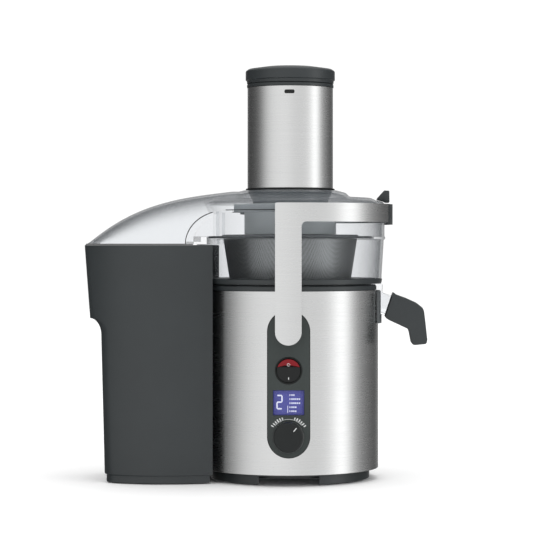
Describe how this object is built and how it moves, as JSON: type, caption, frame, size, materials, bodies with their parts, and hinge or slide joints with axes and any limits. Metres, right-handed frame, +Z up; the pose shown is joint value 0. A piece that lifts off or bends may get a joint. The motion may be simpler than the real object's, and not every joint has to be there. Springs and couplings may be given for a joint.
{
  "type": "centrifugal juicer",
  "caption": "Upright centrifugal juicer: steel-clad motor base, clear bowl and lid, wide feed chute, pulp bin, juice spout and locking arm.",
  "frame": {"origin": "middle of the footprint, on the ground under the machine", "axes": "+Z up, the front with the controls faces -Y, +X to the right towards the juice spout"},
  "size_m": [0.3574, 0.2156, 0.432],
  "materials": {
    "steel": "brushed round the body",
    "bright_steel": "bright",
    "dark_plastic": "fine moulded grain",
    "panel_plastic": "satin",
    "black_plastic": "satin",
    "grey_plastic": "satin",
    "clear_plastic": "clear, polished",
    "bowl_plastic": "clear with a grey tint, polished",
    "red_lens": "translucent red",
    "blue_screen": "lit screen",
    "white_mark": "matt",
    "rubber": "matt",
    "winding": "enamelled wire",
    "iron": "stacked sheet",
    "circuit_board": "lacquered"
  },
  "bodies": {
    "base": {"base_plate": "dark_plastic", "rubber_foot_1": "rubber", "rubber_foot_2": "rubber", "rubber_foot_3": "rubber", "rubber_foot_4": "rubber", "motor_housing": "black_plastic", "steel_wrap": "steel", "top_ring": "dark_plastic", "shaft_seal": "rubber", "cord_gland": "rubber", "motor_cradle": "grey_plastic", "stator_core": "iron", "stator_winding_low": "winding", "stator_winding_high": "winding", "motor_bridge": "grey_plastic", "bearing_low": "bright_steel", "bearing_high": "bright_steel", "control_panel": "panel_plastic", "display_module": "blue_screen", "display_window": "clear_plastic", "switch_bezel": "black_plastic", "switch_body": "black_plastic", "speed_selector": "black_plastic", "control_board": "circuit_board", "interlock_switch": "black_plastic", "pivot_pin_front": "bright_steel", "pivot_pin_rear": "bright_steel", "pivot_bush_front": "black_plastic", "pivot_bush_rear": "black_plastic"},
    "rotor": {"motor_shaft": "bright_steel", "rotor_core": "iron", "cooling_fan": "black_plastic", "drive_coupling": "black_plastic"},
    "rocker": {"rocker_switch": "black_plastic", "rocker_lens": "red_lens"},
    "dial": {"dial_knob": "panel_plastic", "dial_pointer": "white_mark", "dial_shaft": "bright_steel"},
    "arm": {"locking_arm": "steel", "arm_grip": "dark_plastic"},
    "container": {"pulp_container": "dark_plastic"},
    "bowl": {"filter_bowl": "bowl_plastic", "bowl_outlet": "bowl_plastic"},
    "spout": {"juice_spout": "dark_plastic"},
    "basket": {"basket_base": "grey_plastic", "filter_basket": "bright_steel", "basket_rim": "grey_plastic", "cutting_disc": "bright_steel"},
    "lid_body": {"lid": "clear_plastic", "lid_seal": "rubber", "lid_lug": "dark_plastic", "feed_chute": "grey_plastic", "chute_collar": "black_plastic", "chute_sleeve": "steel", "chute_key": "black_plastic", "chute_top_ring": "dark_plastic"},
    "pusher": {"pusher_body": "dark_plastic", "pusher_cap": "dark_plastic"}
  },
  "joints": [
    {"name": "rotor_spin", "type": "hinge", "parent": "base", "child": "rotor", "pos_m": [0.03495, 0, 0.1], "axis": [0, 0, 1], "continuous": true},
    {"name": "basket_spin", "type": "hinge", "parent": "bowl", "child": "basket", "pos_m": [0.03495, 0, 0.22], "axis": [0, 0, 1], "continuous": true},
    {"name": "rocker_tilt", "type": "hinge", "parent": "base", "child": "rocker", "pos_m": [0.03495, -0.0915, 0.1178], "axis": [1, 0, 0], "range_deg": [-12, 0]},
    {"name": "dial_turn", "type": "hinge", "parent": "base", "child": "dial", "pos_m": [0.03495, -0.0933, 0.051], "axis": [0, 1, 0], "range_deg": [-95, 15]},
    {"name": "arm_swing", "type": "hinge", "parent": "base", "child": "arm", "pos_m": [0.03495, 0, 0.1572], "axis": [0, 1, 0], "range_deg": [0, 70]},
    {"name": "container_slide", "type": "slide", "parent": "base", "child": "container", "axis": [-1, 0, 0], "range_m": [0, 0.12]},
    {"name": "bowl_lift", "type": "slide", "parent": "base", "child": "bowl", "axis": [0, 0, 1], "range_m": [0, 0.06]},
    {"name": "spout_pull", "type": "slide", "parent": "bowl", "child": "spout", "axis": [0.9478, 0, -0.319], "range_m": [0, 0.04]},
    {"name": "lid_lift", "type": "slide", "parent": "bowl", "child": "lid_body", "axis": [0, 0, 1], "range_m": [0, 0.15]},
    {"name": "pusher_lift", "type": "slide", "parent": "lid_body", "child": "pusher", "axis": [0, 0, 1], "range_m": [0, 0.17]}
  ],
  "couplings": [
    {"joint": "basket_spin", "follows": "rotor_spin", "ratio": 1}
  ]
}
